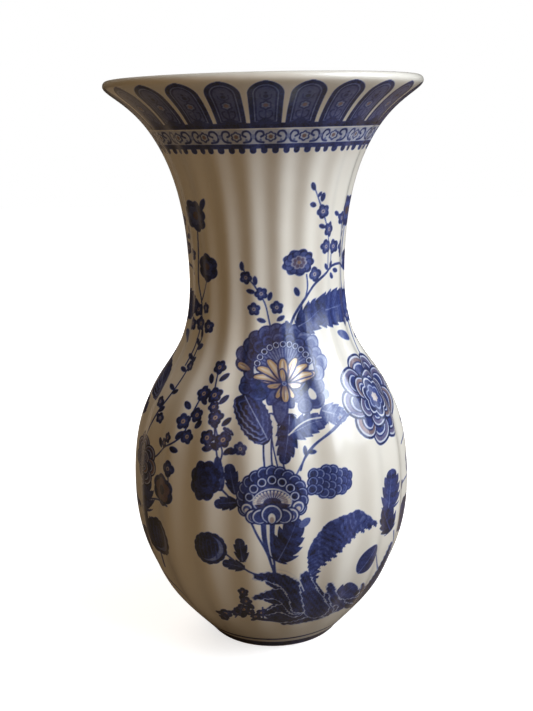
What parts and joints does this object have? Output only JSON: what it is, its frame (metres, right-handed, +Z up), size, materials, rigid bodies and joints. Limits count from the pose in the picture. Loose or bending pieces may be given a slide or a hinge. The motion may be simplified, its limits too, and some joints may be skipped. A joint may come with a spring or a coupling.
{
  "type": "pottery vase",
  "caption": "Tall lobed pottery vase with a full belly on a narrow foot, a waisted neck and a flared round-lipped mouth.",
  "frame": {"origin": "centre of the circle the foot ring stands on", "axes": "+Z up the axis of the vase from the foot to the mouth, -Y towards the side with the main flowers"},
  "size_m": [0.163, 0.163, 0.3],
  "materials": {
    "foot_glaze": "glossy cobalt blue glaze, bare clay on the standing edge",
    "body_glaze": "glossy cream glaze with cobalt blue flowers and fine gilding",
    "neck_glaze": "glossy cream glaze with cobalt blue flowers, a blue border of arches and fine gilding"
  },
  "bodies": {
    "root": {"foot_ring": "foot_glaze", "belly": "body_glaze", "neck": "neck_glaze"}
  },
  "joints": []
}
